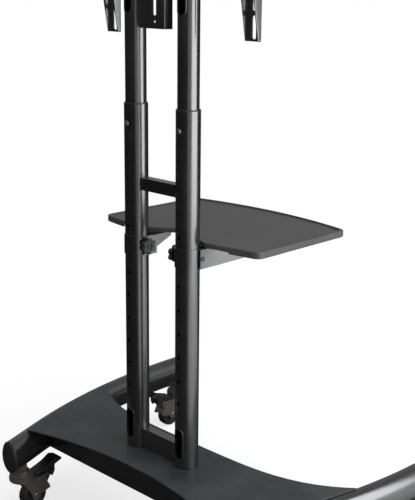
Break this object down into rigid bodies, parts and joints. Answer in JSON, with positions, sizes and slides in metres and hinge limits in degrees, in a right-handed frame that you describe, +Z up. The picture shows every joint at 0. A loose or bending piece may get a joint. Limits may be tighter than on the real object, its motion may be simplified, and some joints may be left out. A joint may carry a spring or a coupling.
{
  "type": "mobile television stand",
  "caption": "Wheeled stand with telescopic columns, slotted screen arms that slide and tilt, a clamped height-adjustable shelf, curved tube legs and braked swivel casters.",
  "frame": {"origin": "on the floor, at the centre of the bounding box in plan, with every wheel on the floor", "axes": "+Z is up. +Y points to the side that the screen and the shelf face. +X runs along the line of the two columns."},
  "size_m": [0.887, 0.6972, 1.4956],
  "materials": {
    "powder": "satin black powder coat",
    "textured_powder": "fine-textured black powder coat",
    "tray_powder": "satin black powder coat, a little lighter in the light",
    "moulding": "fine-grained black moulding",
    "caster_moulding": "smooth black moulding",
    "wheel_tread": "black",
    "plated_steel": "bright zinc plated"
  },
  "bodies": {
    "base": {"left_leg": "powder", "right_leg": "powder", "left_leg_rear_cap": "moulding", "left_leg_front_cap": "moulding", "right_leg_rear_cap": "moulding", "right_leg_front_cap": "moulding", "base_plate": "textured_powder", "base_beam": "powder", "left_outer_column": "powder", "right_outer_column": "powder", "upper_crossbar": "powder", "lower_crossbar": "powder", "left_column_bush": "moulding", "right_column_bush": "moulding", "left_height_screw": "plated_steel", "right_height_screw": "plated_steel", "left_lower_grommet": "moulding", "right_lower_grommet": "moulding", "left_rear_caster_stem": "caster_moulding", "right_rear_caster_stem": "caster_moulding", "left_front_caster_stem": "caster_moulding", "right_front_caster_stem": "caster_moulding"},
    "upper_frame": {"left_inner_column": "powder", "right_inner_column": "powder", "left_upper_grommet": "moulding", "right_upper_grommet": "moulding", "left_column_cap": "moulding", "right_column_cap": "moulding", "centre_bracket": "powder", "rear_strap": "powder", "mount_rail": "powder"},
    "shelf": {"shelf_tray": "tray_powder", "left_shelf_support": "powder", "right_shelf_support": "powder", "left_shelf_clamp": "powder", "right_shelf_clamp": "powder"},
    "left_carrier": {"left_tilt_carrier": "powder"},
    "left_arm": {"left_tv_arm": "powder"},
    "left_tilt_knob_body": {"left_tilt_knob": "moulding"},
    "left_clamp_knob_body": {"left_clamp_knob": "moulding"},
    "right_carrier": {"right_tilt_carrier": "powder"},
    "right_arm": {"right_tv_arm": "powder"},
    "right_tilt_knob_body": {"right_tilt_knob": "moulding"},
    "right_clamp_knob_body": {"right_clamp_knob": "moulding"},
    "left_rear_fork": {"left_rear_caster_fork": "caster_moulding", "left_rear_caster_axle": "plated_steel"},
    "left_rear_wheel": {"left_rear_caster_wheel": "wheel_tread"},
    "left_rear_pedal": {"left_rear_brake_pedal": "moulding"},
    "right_rear_fork": {"right_rear_caster_fork": "caster_moulding", "right_rear_caster_axle": "plated_steel"},
    "right_rear_wheel": {"right_rear_caster_wheel": "wheel_tread"},
    "right_rear_pedal": {"right_rear_brake_pedal": "moulding"},
    "left_front_fork": {"left_front_caster_fork": "caster_moulding", "left_front_caster_axle": "plated_steel"},
    "left_front_wheel": {"left_front_caster_wheel": "wheel_tread"},
    "left_front_pedal": {"left_front_brake_pedal": "moulding"},
    "right_front_fork": {"right_front_caster_fork": "caster_moulding", "right_front_caster_axle": "plated_steel"},
    "right_front_wheel": {"right_front_caster_wheel": "wheel_tread"},
    "right_front_pedal": {"right_front_brake_pedal": "moulding"}
  },
  "joints": [
    {"name": "height_slide", "type": "slide", "parent": "base", "child": "upper_frame", "axis": [0, 0, 1], "range_m": [-0.1524, 0.1016]},
    {"name": "shelf_slide", "type": "slide", "parent": "base", "child": "shelf", "axis": [0, 0, 1], "range_m": [-0.33, 0.09]},
    {"name": "left_arm_slide", "type": "slide", "parent": "upper_frame", "child": "left_carrier", "axis": [-1, 0, 0], "range_m": [-0.08, 0.1]},
    {"name": "left_arm_tilt", "type": "hinge", "parent": "left_carrier", "child": "left_arm", "pos_m": [-0.2, -0.09489, 1.28935], "axis": [-1, 0, 0], "range_deg": [-5, 15]},
    {"name": "left_tilt_knob_turn", "type": "hinge", "parent": "left_arm", "child": "left_tilt_knob_body", "pos_m": [-0.225, -0.09489, 1.28935], "axis": [-1, 0, 0], "range_deg": [0, 360]},
    {"name": "left_clamp_knob_turn", "type": "hinge", "parent": "shelf", "child": "left_clamp_knob_body", "pos_m": [-0.044, -0.13889, 0.6501], "axis": [1, 0, 0], "range_deg": [0, 360]},
    {"name": "right_arm_slide", "type": "slide", "parent": "upper_frame", "child": "right_carrier", "axis": [1, 0, 0], "range_m": [-0.08, 0.1]},
    {"name": "right_arm_tilt", "type": "hinge", "parent": "right_carrier", "child": "right_arm", "pos_m": [0.2, -0.09489, 1.28935], "axis": [-1, 0, 0], "range_deg": [-5, 15]},
    {"name": "right_tilt_knob_turn", "type": "hinge", "parent": "right_arm", "child": "right_tilt_knob_body", "pos_m": [0.225, -0.09489, 1.28935], "axis": [1, 0, 0], "range_deg": [0, 360]},
    {"name": "right_clamp_knob_turn", "type": "hinge", "parent": "shelf", "child": "right_clamp_knob_body", "pos_m": [0.044, -0.13889, 0.6501], "axis": [-1, 0, 0], "range_deg": [0, 360]},
    {"name": "left_rear_swivel", "type": "hinge", "parent": "base", "child": "left_rear_fork", "pos_m": [-0.29685, -0.30376, 0.083], "axis": [0, 0, 1], "continuous": true},
    {"name": "left_rear_wheel_roll", "type": "hinge", "parent": "left_rear_fork", "child": "left_rear_wheel", "pos_m": [-0.29685, -0.27376, 0.032], "axis": [1, 0, 0], "continuous": true},
    {"name": "left_rear_brake", "type": "hinge", "parent": "left_rear_fork", "child": "left_rear_pedal", "pos_m": [-0.29685, -0.24276, 0.07], "axis": [-1, 0, 0], "range_deg": [0, 12]},
    {"name": "right_rear_swivel", "type": "hinge", "parent": "base", "child": "right_rear_fork", "pos_m": [0.29685, -0.30376, 0.083], "axis": [0, 0, 1], "continuous": true},
    {"name": "right_rear_wheel_roll", "type": "hinge", "parent": "right_rear_fork", "child": "right_rear_wheel", "pos_m": [0.29685, -0.27376, 0.032], "axis": [1, 0, 0], "continuous": true},
    {"name": "right_rear_brake", "type": "hinge", "parent": "right_rear_fork", "child": "right_rear_pedal", "pos_m": [0.29685, -0.24276, 0.07], "axis": [-1, 0, 0], "range_deg": [0, 12]},
    {"name": "left_front_swivel", "type": "hinge", "parent": "base", "child": "left_front_fork", "pos_m": [-0.416, 0.30111, 0.083], "axis": [0, 0, 1], "continuous": true},
    {"name": "left_front_wheel_roll", "type": "hinge", "parent": "left_front_fork", "child": "left_front_wheel", "pos_m": [-0.416, 0.2711, 0.032], "axis": [1, 0, 0], "continuous": true},
    {"name": "left_front_brake", "type": "hinge", "parent": "left_front_fork", "child": "left_front_pedal", "pos_m": [-0.416, 0.24011, 0.07], "axis": [1, 0, 0], "range_deg": [0, 12]},
    {"name": "right_front_swivel", "type": "hinge", "parent": "base", "child": "right_front_fork", "pos_m": [0.416, 0.30111, 0.083], "axis": [0, 0, 1], "continuous": true},
    {"name": "right_front_wheel_roll", "type": "hinge", "parent": "right_front_fork", "child": "right_front_wheel", "pos_m": [0.416, 0.2711, 0.032], "axis": [1, 0, 0], "continuous": true},
    {"name": "right_front_brake", "type": "hinge", "parent": "right_front_fork", "child": "right_front_pedal", "pos_m": [0.416, 0.24011, 0.07], "axis": [1, 0, 0], "range_deg": [0, 12]}
  ]
}
